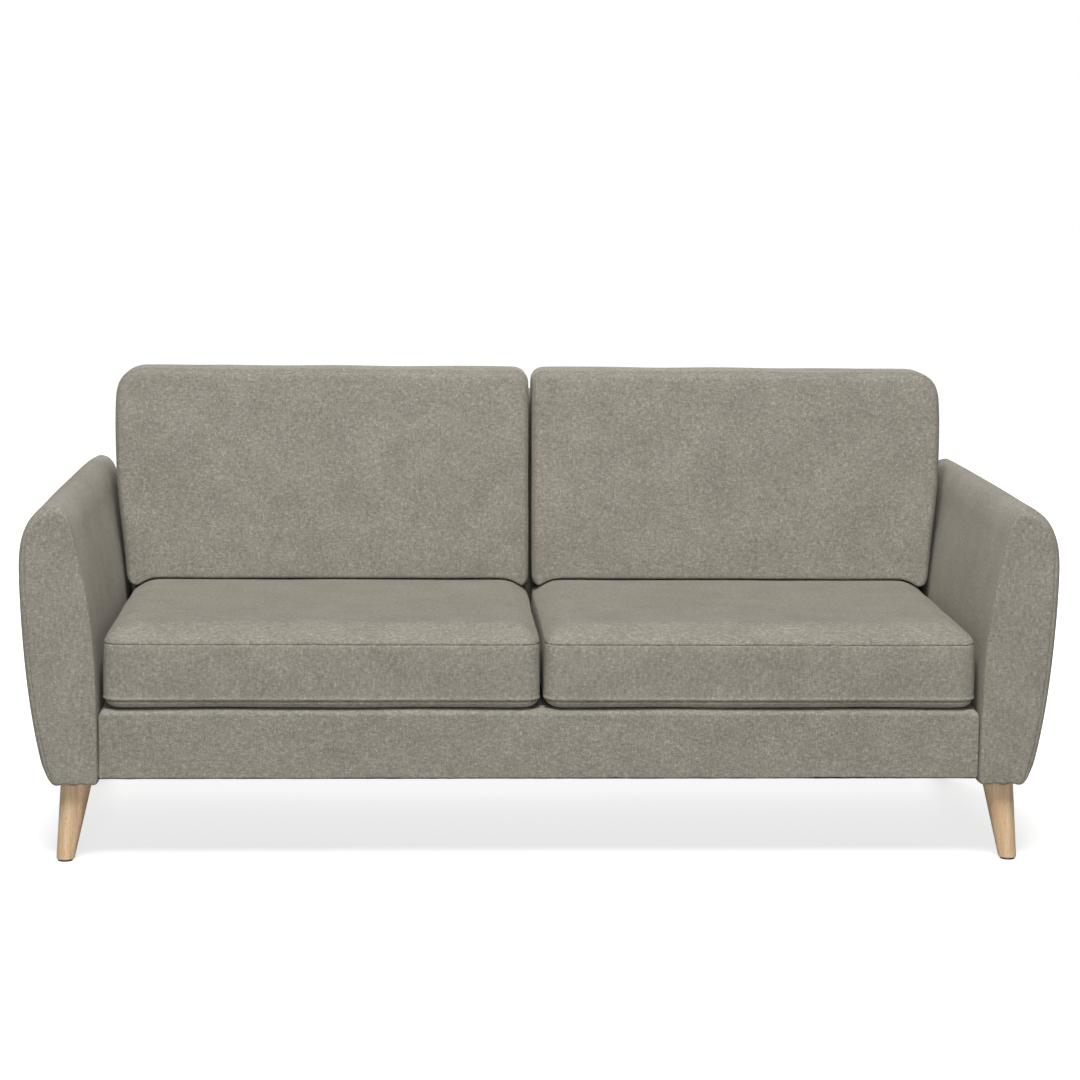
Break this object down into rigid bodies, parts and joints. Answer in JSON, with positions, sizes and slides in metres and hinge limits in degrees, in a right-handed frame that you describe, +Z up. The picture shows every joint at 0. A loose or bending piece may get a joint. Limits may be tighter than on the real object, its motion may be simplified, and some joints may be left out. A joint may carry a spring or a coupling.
{
  "type": "sofa with wooden legs",
  "caption": "Upholstered sofa with flared padded arms, loose seat and back cushions and tapered, splayed wooden legs.",
  "frame": {"origin": "on the floor, at the middle of the overall box in width and depth", "axes": "+X to the right of someone who stands in front and faces the sofa, +Y to its back, +Z up; left and right in names are -X and +X"},
  "size_m": [1.95, 0.88, 0.888],
  "materials": {
    "cover_fabric": "matte woven melange, warm grey-taupe",
    "leg_wood": "matte lacquered light hardwood, lengthwise grain",
    "frame_timber": "planed softwood, unfinished",
    "plywood": "sawn plywood, unfinished",
    "foam": "open-cell polyurethane foam",
    "deck_felt": "needled felt, charcoal",
    "lining_cloth": "spun non-woven black lining",
    "webbing": "woven elastic webbing",
    "zip_plastic": "coil zip on woven tape",
    "glide_plastic": "moulded, lightly textured",
    "spring_steel": "oil-tempered wire",
    "zinc_steel": "bright zinc plate"
  },
  "bodies": {
    "frame": {"left_arm_cover": "cover_fabric", "left_arm_foam": "foam", "left_arm_front_former": "plywood", "left_arm_rear_former": "plywood", "left_arm_top_rail": "frame_timber", "left_arm_bottom_rail": "frame_timber", "left_front_leg": "leg_wood", "left_front_leg_plate": "zinc_steel", "left_front_leg_bolt": "zinc_steel", "left_front_glide": "glide_plastic", "left_rear_leg": "leg_wood", "left_rear_leg_plate": "zinc_steel", "left_rear_leg_bolt": "zinc_steel", "left_rear_glide": "glide_plastic", "left_seat_side_rail": "frame_timber", "left_seat_springs": "spring_steel", "left_back_side_stile": "frame_timber", "right_arm_cover": "cover_fabric", "right_arm_foam": "foam", "right_arm_front_former": "plywood", "right_arm_rear_former": "plywood", "right_arm_top_rail": "frame_timber", "right_arm_bottom_rail": "frame_timber", "right_front_leg": "leg_wood", "right_front_leg_plate": "zinc_steel", "right_front_leg_bolt": "zinc_steel", "right_front_glide": "glide_plastic", "right_rear_leg": "leg_wood", "right_rear_leg_plate": "zinc_steel", "right_rear_leg_bolt": "zinc_steel", "right_rear_glide": "glide_plastic", "right_seat_side_rail": "frame_timber", "right_seat_springs": "spring_steel", "right_back_side_stile": "frame_timber", "front_rail_cover": "cover_fabric", "front_rail_foam": "foam", "front_seat_rail": "frame_timber", "back_seat_rail": "frame_timber", "centre_seat_rail": "frame_timber", "seat_deck": "deck_felt", "dust_cover": "lining_cloth", "back_cover": "cover_fabric", "back_foam": "foam", "back_bottom_rail": "frame_timber", "back_top_rail": "frame_timber", "back_centre_stile": "frame_timber", "back_webbing": "webbing"},
    "left_seat_cushion": {"left_seat_cushion_cover": "cover_fabric", "left_seat_cushion_core": "foam", "left_seat_cushion_zip": "zip_plastic"},
    "left_back_cushion": {"left_back_cushion_cover": "cover_fabric", "left_back_cushion_core": "foam", "left_back_cushion_zip": "zip_plastic"},
    "right_seat_cushion": {"right_seat_cushion_cover": "cover_fabric", "right_seat_cushion_core": "foam", "right_seat_cushion_zip": "zip_plastic"},
    "right_back_cushion": {"right_back_cushion_cover": "cover_fabric", "right_back_cushion_core": "foam", "right_back_cushion_zip": "zip_plastic"}
  },
  "joints": [
    {"name": "left_seat_cushion_pull_out", "type": "slide", "parent": "frame", "child": "left_seat_cushion", "axis": [0, -1, 0], "range_m": [0, 0.7]},
    {"name": "left_back_cushion_lift_off", "type": "slide", "parent": "frame", "child": "left_back_cushion", "axis": [0, 0, 1], "range_m": [0, 0.4]},
    {"name": "right_seat_cushion_pull_out", "type": "slide", "parent": "frame", "child": "right_seat_cushion", "axis": [0, -1, 0], "range_m": [0, 0.7]},
    {"name": "right_back_cushion_lift_off", "type": "slide", "parent": "frame", "child": "right_back_cushion", "axis": [0, 0, 1], "range_m": [0, 0.4]}
  ]
}
